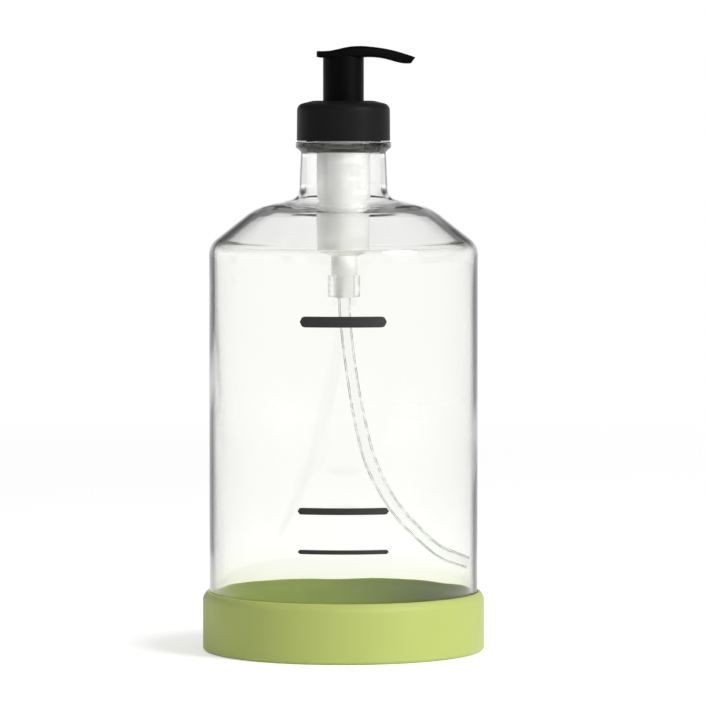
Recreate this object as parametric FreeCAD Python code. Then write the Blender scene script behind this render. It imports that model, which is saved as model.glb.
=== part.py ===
# Pump bottle for liquid soap: a round glass bottle standing in a soft silicone boot,
# closed by a screw cap that carries a foaming pump with a curved spout.
# Millimetres, +Z up. The origin is the middle of the boot's underside.
# The spout points along +X, and the dip tube bends the same way.

import FreeCAD
import Part
import math
import os

Vector = FreeCAD.Vector
ORIGIN = Vector(0, 0, 0)
UP = Vector(0, 0, 1)

# Silicone boot
boot_height = 17.7
boot_wall = 1.95
boot_floor = 2.0
boot_gap = 0.05            # between boot and glass, which the real rubber closes by stretching
boot_rim_slope = 1.2       # width and drop of the slope that rounds the rim's outer edge
boot_rim_drop = 1.6
boot_rim_round = 1.2       # where the slope meets the top, and then the side
boot_side_round = 2.5
boot_foot_round = 1.1
boot_inner_lip_round = 0.3

# Glass bottle, heights above its own base
bottle_radius = 40.15
glass_wall = 2.4
heel_round = 6.0
base_thickness = 5.5
punt_depth = 2.0           # how far the underside is pushed up in the middle
foot_ring_width = 7.15     # flat ring that the bottle stands on, inside the heel's corner
inner_heel_round = 7.0
shoulder_height = 119.5    # where the wall and the steep shoulder would meet
shoulder_round = 5.7
crown_radius = 25.8        # where the steep shoulder meets the flat crown
crown_height = 130.8
crown_round = 15.0
neck_base_height = 133.4
neck_base_round = 3.2
neck_flare = 0.6           # how much wider the neck is at its foot than under its bead
neck_wall = 2.0

# Neck finish: the bead under the cap and the threaded mouth above it
bead_height = 147.2
bead_overhang = 0.33       # how far the bead stands out past the cap
bead_step = 1.58           # how far it stands out from the neck
bead_bevel = 1.4
bead_thickness = 3.1
mouth_gap = 0.65           # between the mouth and the housing inside it
mouth_wall = 2.3
mouth_length = 8.4
mouth_bore_length = 8.8    # straight bore, above the cone that widens it into the neck
mouth_edge_round = 0.8
edge_round = 0.3

# Screw cap
cap_foot_gap = 0.2         # above the bead
cap_flange_gap = 0.85      # between the housing's flange and the cap's side wall
cap_draft = 0.1            # how much narrower the cap is at its top than at its foot
cap_top_round = 2.2
cap_dome = 1.2             # rise of the cap's top from its rim to its flat middle
cap_dome_run = 4.9         # width of that rise
cap_flat_round = 6.0
cap_top_wall = 1.2
cap_side_wall = 1.5
cap_inner_chamfer = 1.0    # between the inside of the top and of the side wall
cap_hole_gap = 0.35        # around the skirt of the pump head

# Stack between the glass mouth and the cap's inner face
gasket_thickness = 1.0
gasket_overhang = 0.5      # past the outside of the mouth
gasket_hole_gap = 0.3      # around the housing
flange_thickness = 1.0
flange_overhang = 0.7      # past the outside of the mouth
guide_flange_thickness = 0.6
guide_flange_inset = 0.4   # inside the edge of the housing's flange
guide_wall = 0.73
guide_length = 6.2
guide_running_gap = 0.1    # around the skirt of the pump head
seat_gap = 0.02            # between pieces pushed into each other

# Pump housing: air cylinder, cone, liquid cylinder and tube nipple in one moulding
housing_radius = 7.95
housing_wall = 1.0
housing_depth = 39.7       # from the underside of its flange
housing_floor = 1.2
cone_height = 3.1
liquid_tube_radius = 4.1
liquid_tube_wall = 0.9
liquid_tube_length = 6.5   # below the cone
nipple_radius = 2.8
nipple_length = 6.7
inlet_hole = 1.3
inlet_seat_floor = 1.0     # plastic between the tube's end and the inlet seat
seat_slope = 45.0          # degrees, of both valve seats

# Clear ring round the nipple, and the dip tube inside it
ring_radius = 5.0
ring_height = 6.4
ring_chamfer = 0.25
tube_radius = 1.875
tube_wall = 0.5
tube_grip = 6.0            # length of tube inside the nipple
tube_wall_gap = 1.4        # from the middle of the tube's end to the inner wall
tube_floor_gap = 16.6      # from the middle of the tube's end to the inner floor
tube_straight = 8.6        # from the tube's upper end down to its first bend
tube_first_bend = 5.5      # degrees
tube_first_radius = 30.0
tube_lean = 7.2            # degrees of the long lean, whose radius uses up the drop
tube_elbow = 39.0          # degrees
tube_elbow_radius = 54.0
tube_tip_bend = 18.8       # degrees of the last bend, whose radius brings the end to the wall

# Valve balls and their retainer
inlet_ball_radius = 1.9
outlet_ball_radius = 1.8
retainer_thickness = 1.0
retainer_hole = 1.1
retainer_slot = 0.7
retainer_slots = 3
ball_lift = 0.5            # free travel of the inlet ball under its retainer

# Pump head: skirt, finger pad and spout in one moulding
skirt_wall = 1.2
skirt_depth = 11.7         # below the housing's flange, with the head up
pad_rise = 12.9            # from the cap's top to the pad's underside, with the head up
chamber_radius = 3.2
chamber_rise = 1.1         # roof of the chamber above the pad's underside
duct_width = 3.4
duct_height = 1.1
duct_side_round = 0.54     # just under half the height, so that its sides stay a little flat
duct_rise = 0.5            # middle of the duct above the pad's underside, in the chamber
duct_crest = (10.5, 1.3)   # highest point of the duct: x, and height above the pad's underside
duct_end = (21.6, -1.15)
tip_top = (21.5, 0.05)     # upper and lower edge of the spout's cut face
tip_foot = (20.1, -1.85)
tip_overhang = 6.0         # how much of the loft is cut off past the spout's face
pad_back = -8.0
pad_front = 22.5
pad_back_inset = 0.9       # of the pad's side at its back, from the line of the skirt's side
pad_back_round = 2.4
pad_tip_inset = 3.2        # of the pad's side at the spout's tip
# Stations along the head: x, inset of the side from the skirt's radius, then underside and top
# above the pad's underside at the skirt, and corner radius
head_stations = (
    (-8.2, 0.8, 0.20, 1.78, 0.60),
    (-6.8, 0.4, -0.1, 1.81, 0.60),
    (-3.5, 0.1, -0.1, 2.02, 0.70),
    (0.5, 0.1, -0.1, 2.91, 1.00),
    (4.6, 0.5, -0.05, 3.34, 1.20),
    (8.5, 1.2, 0.02, 3.11, 1.20),
    (13.0, 2.1, -0.6, 2.46, 1.05),
    (16.6, 2.75, -1.6, 1.58, 0.90),
    (19.6, 3.1, -1.85, 0.64, 0.75),
    (22.4, 3.4, -1.9, -0.5, 0.60),
)

# Foam screens and the cartridge that carries them
cartridge_wall = 0.95
cartridge_length = 12.0
screen_thickness = 0.3
screen_gap = 0.1           # between the lower screen and the stem

# Moving pistons
stroke = 10.0
pressed_gap = 0.7          # from the air valve to the liquid cylinder at full stroke
stem_radius = 2.2
stem_bore = 1.2
stem_cup_height = 6.0
stem_cup_wall = 0.9
stem_cup_floor = 1.4
stem_vent_radius = 0.4
stem_vents = 4
piston_gap = 0.05          # at each sealing lip
air_piston_drop = 0.4      # from the skirt's lower end to the piston's top
air_piston_height = 4.9
air_piston_web = 1.0
air_piston_web_drop = 2.6  # from the piston's top to the web's top
air_piston_rim = 0.8
air_lip_height = 0.8
air_waist = 0.3            # how far the rim is relieved between its lips
air_hub_wall = 0.65
air_ports = 3
air_port_radius = 0.45
valve_disc_thickness = 0.3
valve_disc_radius = 4.7
liquid_piston_height = 5.0
liquid_piston_inset = 2.0  # from the riser's mouth to the piston's top, at rest
liquid_lip_height = 0.8
liquid_waist = 0.35
liquid_piston_floor = 1.0

# Return spring
spring_gap = 0.95          # around the liquid cylinder
spring_wire = 0.9
spring_turns = 6.5
wire_flats = 6             # the wire's section is drawn as a plain hexagon


def rounded_outline(corners):
    """Closed wire in the XZ plane through (x, z, corner radius), each corner a tangent arc."""
    count = len(corners)
    points = [Vector(x, 0, z) for x, z, _ in corners]
    entries = []
    for i, (_, _, radius) in enumerate(corners):
        corner = points[i]
        to_last = points[i - 1] - corner
        to_next = points[(i + 1) % count] - corner
        room = 0.49 * min(to_last.Length, to_next.Length)
        to_last.normalize()
        to_next.normalize()
        half = to_last.getAngle(to_next) / 2
        if radius <= 0 or abs(half - math.pi / 2) < 1e-6:
            entries.append((corner, None, corner))
            continue
        setback = min(radius / math.tan(half), room)
        fitted = setback * math.tan(half)
        inward = to_last + to_next
        inward.normalize()
        middle = corner + inward * (fitted / math.sin(half) - fitted)
        entries.append((corner + to_last * setback, middle, corner + to_next * setback))
    edges = []
    for i, (start, middle, end) in enumerate(entries):
        if middle is not None:
            edges.append(Part.Arc(start, middle, end).toShape())
        following = entries[(i + 1) % count][0]
        if (following - end).Length > 1e-6:
            edges.append(Part.makeLine(end, following))
    return Part.Wire(edges)


def turned(*corners):
    """Solid of revolution about Z from the corners (radius, z) or (radius, z, corner radius)."""
    full = [corner if len(corner) == 3 else (*corner, 0) for corner in corners]
    return Part.Face(rounded_outline(full)).revolve(ORIGIN, UP, 360)


def ring(outer, inner, low, high):
    """Plain washer or sleeve."""
    return turned((inner, low), (outer, low), (outer, high), (inner, high))


def rod(radius, low, high):
    """Plain upright cylinder."""
    return Part.makeCylinder(radius, high - low, Vector(0, 0, low))


def around(shape, count, first=0.0):
    """Copies of a shape turned evenly about Z, as one compound."""
    copies = []
    for i in range(count):
        copy = shape.copy()
        copy.rotate(ORIGIN, UP, first + i * 360 / count)
        copies.append(copy)
    return Part.makeCompound(copies)


def inset(corners, distance):
    """Open outline of (r, z) moved to its left side by a distance, corner by corner."""
    lines = []
    for (r0, z0), (r1, z1) in zip(corners, corners[1:]):
        length = math.hypot(r1 - r0, z1 - z0)
        shift_r = -(z1 - z0) / length * distance
        shift_z = (r1 - r0) / length * distance
        lines.append(((r0 + shift_r, z0 + shift_z), (r1 - r0, z1 - z0)))
    moved = []
    for ((r0, z0), (dr0, dz0)), ((r1, z1), (dr1, dz1)) in zip(lines, lines[1:]):
        cross = dr0 * dz1 - dz0 * dr1
        along = ((r1 - r0) * dz1 - (z1 - z0) * dr1) / cross
        moved.append((r0 + along * dr0, z0 + along * dz0))
    return moved


# Radii that several pieces share
cylinder_bore = housing_radius - housing_wall
liquid_bore = liquid_tube_radius - liquid_tube_wall
skirt_radius = cylinder_bore - seat_gap - guide_wall - guide_running_gap
skirt_bore = skirt_radius - skirt_wall
seated_radius = skirt_bore - seat_gap
mouth_bore = housing_radius + mouth_gap
mouth_radius = mouth_bore + mouth_wall
flange_radius = mouth_radius + flange_overhang
cap_bore = flange_radius + cap_flange_gap
cap_foot_radius = cap_bore + cap_side_wall
bead_radius = cap_foot_radius + bead_overhang
neck_top_radius = bead_radius - bead_step
neck_base_radius = neck_top_radius + neck_flare

# Levels that several pieces share
bottle_floor = boot_floor
inner_floor = bottle_floor + punt_depth + base_thickness
bead_top = bottle_floor + bead_height + bead_thickness
mouth_top = bead_top + mouth_length
flange_low = mouth_top + gasket_thickness
flange_high = flange_low + flange_thickness
cap_ceiling = flange_high + guide_flange_thickness
cap_top = cap_ceiling + cap_top_wall
housing_low = flange_low - housing_depth
cylinder_floor = housing_low + housing_floor
cone_low = housing_low - cone_height
liquid_low = cone_low - liquid_tube_length
nipple_low = liquid_low - nipple_length
tube_top = nipple_low + tube_grip
skirt_low = flange_high - skirt_depth
pad_level = cap_top + pad_rise
stem_cup_top = skirt_low + stem_cup_height
cartridge_low = stem_cup_top + screen_gap + screen_thickness
cartridge_high = cartridge_low + cartridge_length
piston_top = skirt_low - air_piston_drop
web_high = piston_top - air_piston_web_drop
web_low = web_high - air_piston_web
riser_top = web_low - valve_disc_thickness - stroke - pressed_gap
liquid_piston_top = riser_top - liquid_piston_inset
liquid_piston_low = liquid_piston_top - liquid_piston_height
slope = math.tan(math.radians(seat_slope))
cup_floor = skirt_low + stem_cup_floor
cup_bore = seated_radius - stem_cup_wall
outlet_seat_radius = (cup_bore + stem_bore) / 2
outlet_seat_low = cup_floor - (outlet_seat_radius - stem_bore) * slope
inlet_seat_low = tube_top + inlet_seat_floor
inlet_seat_high = inlet_seat_low + (liquid_bore - inlet_hole) * slope


def silicone_boot():
    """Soft cup that grips the foot of the bottle, with a rounded rim."""
    inner = bottle_radius + boot_gap
    outer = inner + boot_wall
    return turned(
        (0, 0),
        (outer, 0, boot_foot_round),
        (outer, boot_height - boot_rim_drop, boot_side_round),
        (outer - boot_rim_slope, boot_height, boot_rim_round),
        (inner, boot_height, boot_inner_lip_round),
        (inner, boot_floor, heel_round),
        (0, boot_floor),
    )


def glass_bottle():
    """Blown bottle: pushed-up base, straight wall, two-slope shoulder, neck, bead and mouth."""
    low = bottle_floor
    neck_end = low + bead_height
    punt_radius = bottle_radius - heel_round - foot_ring_width
    outer_side = [
        (bottle_radius, low),
        (bottle_radius, low + shoulder_height),
        (crown_radius, low + crown_height),
        (neck_base_radius, low + neck_base_height),
    ]
    wall_below = (bottle_radius, low - glass_wall)
    neck_above = (neck_base_radius - neck_wall, neck_end)
    inner_side = inset([wall_below, *outer_side[1:], (neck_base_radius, neck_end)], glass_wall)
    inner_neck = neck_above[0]
    bore_low = mouth_top - mouth_bore_length
    crown_slope = (outer_side[3][1] - outer_side[2][1]) / (outer_side[2][0] - outer_side[3][0])
    inner_neck_low = inner_side[1][1] + (inner_side[1][0] - inner_neck) * crown_slope
    return turned(
        (0, low + punt_depth),
        (punt_radius / 2, low + punt_depth, punt_radius / 2),
        (punt_radius, low),
        (bottle_radius, low, heel_round),
        (*outer_side[1], shoulder_round),
        (*outer_side[2], crown_round),
        (*outer_side[3], neck_base_round),
        (neck_top_radius, neck_end),
        (bead_radius, neck_end + bead_bevel, edge_round),
        (bead_radius, bead_top, edge_round),
        (mouth_radius, bead_top),
        (mouth_radius, mouth_top, mouth_edge_round),
        (mouth_bore, mouth_top, mouth_edge_round),
        (mouth_bore, bore_low),
        (inner_neck, bore_low - (inner_neck - mouth_bore)),
        (inner_neck, inner_neck_low, neck_base_round + neck_wall),
        (*inner_side[1], crown_round - glass_wall),
        (*inner_side[0], shoulder_round - glass_wall),
        (bottle_radius - glass_wall, inner_floor, inner_heel_round),
        (0, inner_floor),
    )


def screw_cap():
    """Smooth cap with slight draft, a domed edge and a hole for the pump head's skirt."""
    low = bead_top + cap_foot_gap
    rim = cap_foot_radius - cap_draft
    hole = skirt_radius + cap_hole_gap
    return turned(
        (cap_bore, low),
        (cap_foot_radius, low, edge_round),
        (rim, cap_top - cap_dome, cap_top_round),
        (rim - cap_dome_run, cap_top, cap_flat_round),
        (hole, cap_top, edge_round),
        (hole, cap_ceiling),
        (cap_bore - cap_inner_chamfer, cap_ceiling),
        (cap_bore, cap_ceiling - cap_inner_chamfer),
    )


def neck_gasket():
    """Flat washer between the glass mouth and the housing's flange."""
    outer = mouth_radius + gasket_overhang
    return ring(outer, housing_radius + gasket_hole_gap, mouth_top, flange_low)


def stem_guide():
    """Flanged bush pressed into the housing; the head's skirt runs in it."""
    outer = cylinder_bore - seat_gap
    inner = outer - guide_wall
    rim = flange_radius - guide_flange_inset
    low = flange_high - guide_length
    return turned(
        (inner, low),
        (outer, low),
        (outer, flange_high),
        (rim, flange_high),
        (rim, cap_ceiling),
        (inner, cap_ceiling),
    )


def pump_housing():
    """Air cylinder with its flange, floor and cone, the liquid cylinder and the tube nipple."""
    return turned(
        (inlet_hole, inlet_seat_low),
        (liquid_bore, inlet_seat_high),
        (liquid_bore, riser_top),
        (liquid_tube_radius, riser_top),
        (liquid_tube_radius, cylinder_floor),
        (cylinder_bore, cylinder_floor),
        (cylinder_bore, flange_high),
        (flange_radius, flange_high),
        (flange_radius, flange_low),
        (housing_radius, flange_low),
        (housing_radius, housing_low, edge_round),
        (liquid_tube_radius, cone_low),
        (liquid_tube_radius, liquid_low),
        (nipple_radius, liquid_low),
        (nipple_radius, nipple_low),
        (tube_radius, nipple_low),
        (tube_radius, tube_top),
        (inlet_hole, tube_top),
    )


def tube_ring():
    """Clear ring pushed over the nipple, which squeezes it on the dip tube."""
    low = liquid_low - ring_height
    return turned(
        (nipple_radius, low),
        (ring_radius, low, ring_chamfer),
        (ring_radius, liquid_low, ring_chamfer),
        (nipple_radius, liquid_low),
    )


def tube_route():
    """Centre line of the dip tube: a straight drop, then tangent arcs that swing out to +X."""
    headings = [0.0]
    for degrees in (tube_first_bend, tube_lean, tube_elbow, tube_tip_bend):
        headings.append(headings[-1] + math.radians(degrees))
    turns = list(zip(headings, headings[1:]))
    out = [math.cos(old) - math.cos(new) for old, new in turns]
    down = [math.sin(new) - math.sin(old) for old, new in turns]
    here = Vector(0, 0, tube_top - tube_straight)
    reach = bottle_radius - glass_wall - tube_wall_gap
    reach -= tube_first_radius * out[0] + tube_elbow_radius * out[2]
    drop = here.z - inner_floor - tube_floor_gap
    drop -= tube_first_radius * down[0] + tube_elbow_radius * down[2]
    cross = out[1] * down[3] - out[3] * down[1]
    lean_radius = (reach * down[3] - drop * out[3]) / cross
    tip_radius = (drop * out[1] - reach * down[1]) / cross
    radii = (tube_first_radius, lean_radius, tube_elbow_radius, tip_radius)
    edges = [Part.makeLine(Vector(0, 0, tube_top), here)]
    for (old, new), radius in zip(turns, radii):
        centre = here + Vector(math.cos(old), 0, math.sin(old)) * radius
        stops = []
        for angle in ((old + new) / 2, new):
            stops.append(centre - Vector(math.cos(angle), 0, math.sin(angle)) * radius)
        edges.append(Part.Arc(here, *stops).toShape())
        here = stops[1]
    return Part.Wire(edges)


def swept(route, radius):
    """Round bar along a route that starts straight down."""
    start = route.Edges[0].valueAt(route.Edges[0].FirstParameter)
    section = Part.Wire(Part.makeCircle(radius, start, -UP))
    return route.makePipeShell([section], True, False)


def dip_tube():
    """Thin plastic tube that curls to the foot of the wall."""
    route = tube_route()
    return swept(route, tube_radius).cut(swept(route, tube_radius - tube_wall))


def seated_centre(radius, hole, seat_low):
    """Level of a ball's centre when it rests on the cone above a round hole."""
    tip = seat_low - hole * slope
    return tip + (radius + seat_gap) / math.cos(math.radians(seat_slope))


def inlet_ball():
    """Ball of the valve at the foot of the liquid cylinder."""
    centre = seated_centre(inlet_ball_radius, inlet_hole, inlet_seat_low)
    return Part.makeSphere(inlet_ball_radius, Vector(0, 0, centre))


def ball_retainer():
    """Slotted disc that keeps the inlet ball near its seat and lets liquid past."""
    centre = seated_centre(inlet_ball_radius, inlet_hole, inlet_seat_low)
    low = centre + inlet_ball_radius + ball_lift
    high = low + retainer_thickness
    disc = ring(liquid_bore - seat_gap, retainer_hole, low, high)
    slot = Part.makeBox(
        liquid_bore - 2 * retainer_slot,
        retainer_slot,
        retainer_thickness,
        Vector(0, -retainer_slot / 2, low),
    )
    return disc.cut(around(slot, retainer_slots))


def piston_stem():
    """Hollow rod with a vented cup at its top, which holds the outlet ball's seat."""
    stem_low = liquid_piston_low + liquid_piston_floor
    body = turned(
        (stem_bore, stem_low),
        (stem_radius, stem_low),
        (stem_radius, skirt_low),
        (seated_radius, skirt_low),
        (seated_radius, stem_cup_top),
        (cup_bore, stem_cup_top),
        (cup_bore, cup_floor),
        (outlet_seat_radius, cup_floor),
        (stem_bore, outlet_seat_low),
    )
    vent = rod(stem_vent_radius, skirt_low, cup_floor)
    vent.translate(Vector((outlet_seat_radius + cup_bore) / 2, 0, 0))
    return body.cut(around(vent, stem_vents))


def outlet_ball():
    """Ball of the valve at the top of the stem."""
    centre = seated_centre(outlet_ball_radius, stem_bore, outlet_seat_low)
    return Part.makeSphere(outlet_ball_radius, Vector(0, 0, centre))


def air_piston():
    """Two-lipped piston on the stem, with ports through its web."""
    low = piston_top - air_piston_height
    lip = cylinder_bore - piston_gap
    waist = lip - air_waist
    rim_inner = lip - air_piston_rim
    hub = stem_radius + seat_gap + air_hub_wall
    body = turned(
        (stem_radius + seat_gap, web_low - valve_disc_thickness),
        (hub, web_low - valve_disc_thickness),
        (hub, web_low),
        (rim_inner, web_low),
        (rim_inner, low),
        (lip, low),
        (lip, low + air_lip_height),
        (waist, low + 2 * air_lip_height),
        (waist, piston_top - 2 * air_lip_height),
        (lip, piston_top - air_lip_height),
        (lip, piston_top),
        (rim_inner, piston_top),
        (rim_inner, web_high),
        (hub, web_high),
        (hub, piston_top),
        (stem_radius + seat_gap, piston_top),
    )
    port = rod(air_port_radius, web_low, web_high)
    port.translate(Vector((hub + valve_disc_radius) / 2, 0, 0))
    return body.cut(around(port, air_ports))


def air_valve():
    """Thin soft disc under the ports of the air piston."""
    hub = stem_radius + seat_gap + air_hub_wall
    return ring(valve_disc_radius, hub + seat_gap, web_low - valve_disc_thickness, web_low)


def liquid_piston():
    """Small two-lipped piston pushed on the foot of the stem."""
    low = liquid_piston_low
    high = liquid_piston_top
    lip = liquid_bore - piston_gap
    waist = lip - liquid_waist
    return turned(
        (stem_bore, low),
        (lip, low),
        (lip, low + liquid_lip_height),
        (waist, low + 2 * liquid_lip_height),
        (waist, high - 2 * liquid_lip_height),
        (lip, high - liquid_lip_height),
        (lip, high),
        (stem_radius + seat_gap, high),
        (stem_radius + seat_gap, low + liquid_piston_floor),
        (stem_bore, low + liquid_piston_floor),
    )


def return_spring():
    """Compression spring between the housing's floor and the air piston."""
    spring_radius = liquid_tube_radius + spring_gap + spring_wire / 2
    low = cylinder_floor + spring_wire / 2 + seat_gap
    rise = web_low - spring_wire / 2 - seat_gap - low
    helix = Part.makeHelix(rise / spring_turns, rise, spring_radius)
    helix.translate(Vector(0, 0, low))
    corners = []
    for i in range(wire_flats + 1):
        angle = 2 * math.pi * i / wire_flats
        across = Vector(math.cos(angle), 0, math.sin(angle)) * (spring_wire / 2)
        corners.append(Vector(spring_radius, 0, low) + across)
    return Part.Wire(helix.Edges).makePipeShell([Part.makePolygon(corners)], True, True)


def head_section(x, side_inset, underside, top, corner):
    """Rounded rectangle across the head at one station."""
    half_width = skirt_radius - side_inset
    low = pad_level + underside
    high = pad_level + top
    sides = (
        (-half_width, low, corner),
        (half_width, low, corner),
        (half_width, high, corner),
        (-half_width, high, corner),
    )
    wire = rounded_outline(sides)
    wire.rotate(ORIGIN, UP, 90)
    wire.translate(Vector(x, 0, 0))
    return wire


def head_plan():
    """Outline of the head seen from above, as a tall prism."""
    waist = skirt_radius
    back = waist - pad_back_inset
    tip = waist - pad_tip_inset
    corners = (
        (pad_back, -back, pad_back_round),
        (-waist / 2, -waist, waist),
        (waist / 2, -waist, waist * 2),
        (pad_front, -tip, 0),
        (pad_front, tip, 0),
        (waist / 2, waist, waist * 2),
        (-waist / 2, waist, waist),
        (pad_back, back, pad_back_round),
    )
    wire = rounded_outline(corners)
    wire.rotate(ORIGIN, Vector(1, 0, 0), 90)
    prism = Part.Face(wire).extrude(UP * pad_rise)
    prism.translate(UP * (pad_level - pad_rise / 2))
    return prism


def over_pad(x, rise):
    """Point in the head's middle plane at a height above the pad's underside."""
    return Vector(x, 0, pad_level + rise)


def spout_duct():
    """Flat-sided oval passage from the chamber to the spout's tip."""
    start, middle, end = (over_pad(*point) for point in ((0, duct_rise), duct_crest, duct_end))
    path = Part.Arc(start, middle, end)
    direction = path.tangent(path.FirstParameter)[0]
    half_width = duct_width / 2
    half_height = duct_height / 2
    oval = rounded_outline(
        (
            (-half_width, -half_height, duct_side_round),
            (half_width, -half_height, duct_side_round),
            (half_width, half_height, duct_side_round),
            (-half_width, half_height, duct_side_round),
        )
    )
    oval.rotate(ORIGIN, UP, 90)
    lean = math.degrees(math.atan2(direction.z, direction.x))
    oval.rotate(ORIGIN, Vector(0, 1, 0), -lean)
    oval.translate(start)
    return Part.Wire([path.toShape()]).makePipeShell([oval], True, False)


def pump_head():
    """Finger pad and drooping spout over a hollow skirt, with the passage for the foam."""
    lever = Part.makeLoft([head_section(*station) for station in head_stations], True)
    lever = lever.common(head_plan())
    top, foot = over_pad(*tip_top), over_pad(*tip_foot)
    face_length = top - foot
    over, under = top + face_length * 2, foot - face_length * 2
    beyond = Vector(tip_overhang, 0, 0)
    waste = Part.Face(Part.makePolygon([over, under, under + beyond, over + beyond, over]))
    waste.translate(Vector(0, -skirt_radius, 0))
    lever = lever.cut(waste.extrude(Vector(0, 2 * skirt_radius, 0)))
    skirt = turned(
        (0, skirt_low),
        (skirt_radius, skirt_low, edge_round),
        (skirt_radius, pad_level + edge_round),
        (0, pad_level + edge_round),
    )
    bores = rod(skirt_bore, skirt_low, cartridge_high + screen_thickness)
    bores = bores.fuse(rod(chamber_radius, cartridge_high, pad_level + chamber_rise))
    return skirt.fuse(lever).cut(bores.fuse(spout_duct())).removeSplitter()


def mesh_cartridge():
    """Sleeve that carries a screen at each end."""
    return ring(seated_radius, seated_radius - cartridge_wall, cartridge_low, cartridge_high)


def screen(low):
    """Thin disc of fine mesh."""
    return rod(seated_radius, low, low + screen_thickness)


def main():
    nodes = {
        "silicone_boot": silicone_boot(),
        "glass_bottle": glass_bottle(),
        "screw_cap": screw_cap(),
        "neck_gasket": neck_gasket(),
        "stem_guide": stem_guide(),
        "pump_housing": pump_housing(),
        "tube_ring": tube_ring(),
        "dip_tube": dip_tube(),
        "inlet_ball": inlet_ball(),
        "ball_retainer": ball_retainer(),
        "return_spring": return_spring(),
        "piston_stem": piston_stem(),
        "outlet_ball": outlet_ball(),
        "air_piston": air_piston(),
        "air_valve": air_valve(),
        "liquid_piston": liquid_piston(),
        "pump_head": pump_head(),
        "mesh_cartridge": mesh_cartridge(),
        "coarse_screen": screen(cartridge_low - screen_thickness),
        "fine_screen": screen(cartridge_high),
    }
    os.makedirs("parts", exist_ok=True)
    for name, shape in nodes.items():
        shape.exportStep(os.path.join("parts", name + ".step"))
        box = shape.BoundBox
        print(
            f"{name:16s} solids {len(shape.Solids)} valid {shape.isValid()} "
            f"volume {shape.Volume:9.1f} z {box.ZMin:6.2f} to {box.ZMax:6.2f} "
            f"x {box.XMin:6.2f} to {box.XMax:6.2f}"
        )


main()
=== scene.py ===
"""Looks of the pump bottle: glass, soap, silicone boot, black cap and head, and the pump inside.

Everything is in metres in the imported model's frame: +Z up, the spout along +X.
"""

import math

import bpy
from bpy.props import FloatProperty, FloatVectorProperty, PointerProperty
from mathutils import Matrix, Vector, noise


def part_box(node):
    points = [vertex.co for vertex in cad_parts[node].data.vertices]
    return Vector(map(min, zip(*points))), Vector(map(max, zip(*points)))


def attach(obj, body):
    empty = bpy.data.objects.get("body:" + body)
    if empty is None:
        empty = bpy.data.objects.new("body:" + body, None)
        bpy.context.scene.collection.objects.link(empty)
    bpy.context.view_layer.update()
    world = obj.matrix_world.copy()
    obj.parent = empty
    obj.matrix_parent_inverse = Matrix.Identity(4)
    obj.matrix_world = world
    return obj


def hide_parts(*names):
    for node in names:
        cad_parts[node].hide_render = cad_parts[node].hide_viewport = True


bl_info = {
    "name": "Glass pump bottle",
    "version": (1, 0, 0),
    "blender": (4, 5, 0),
    "location": "View3D > Sidebar > Bottle",
    "description": "Dresses a glass soap bottle with its boot, cap, pump and soap",
    "category": "Object",
}

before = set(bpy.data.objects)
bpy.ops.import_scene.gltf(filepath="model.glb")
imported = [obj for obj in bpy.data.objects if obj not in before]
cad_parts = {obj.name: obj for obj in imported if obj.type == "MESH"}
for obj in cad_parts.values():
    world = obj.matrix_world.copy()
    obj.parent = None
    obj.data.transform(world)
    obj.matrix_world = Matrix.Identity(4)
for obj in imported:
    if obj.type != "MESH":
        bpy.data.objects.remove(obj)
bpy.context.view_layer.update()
MM = 0.001
TAU = 2 * math.pi
SEGMENTS = 256  # round the glass and the soap
ARC_STEP = math.radians(9)  # along a rounded corner
LONGEST_RUN = 2.5 * MM  # between two rings of a straight side
ON_AXIS = 1e-9


def reach(node):
    """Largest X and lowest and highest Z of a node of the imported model."""
    low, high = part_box(node)
    return high.x, low.z, high.z


GLASS_RADIUS, GLASS_LOW, GLASS_HIGH = reach("glass_bottle")


def number(name, description, default, **kind):
    """Float property without a unit, or with the one that is given."""
    return FloatProperty(name=name, description=description, default=default, **kind)


def length(name, description, default):
    """Float property in metres, written in millimetres."""
    return number(name, description, default * MM, unit="LENGTH", precision=4)


def colour(name, description, default):
    """Colour property."""
    return FloatVectorProperty(
        name=name, description=description, default=default, subtype="COLOR", min=0.0, max=1.0
    )


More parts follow.
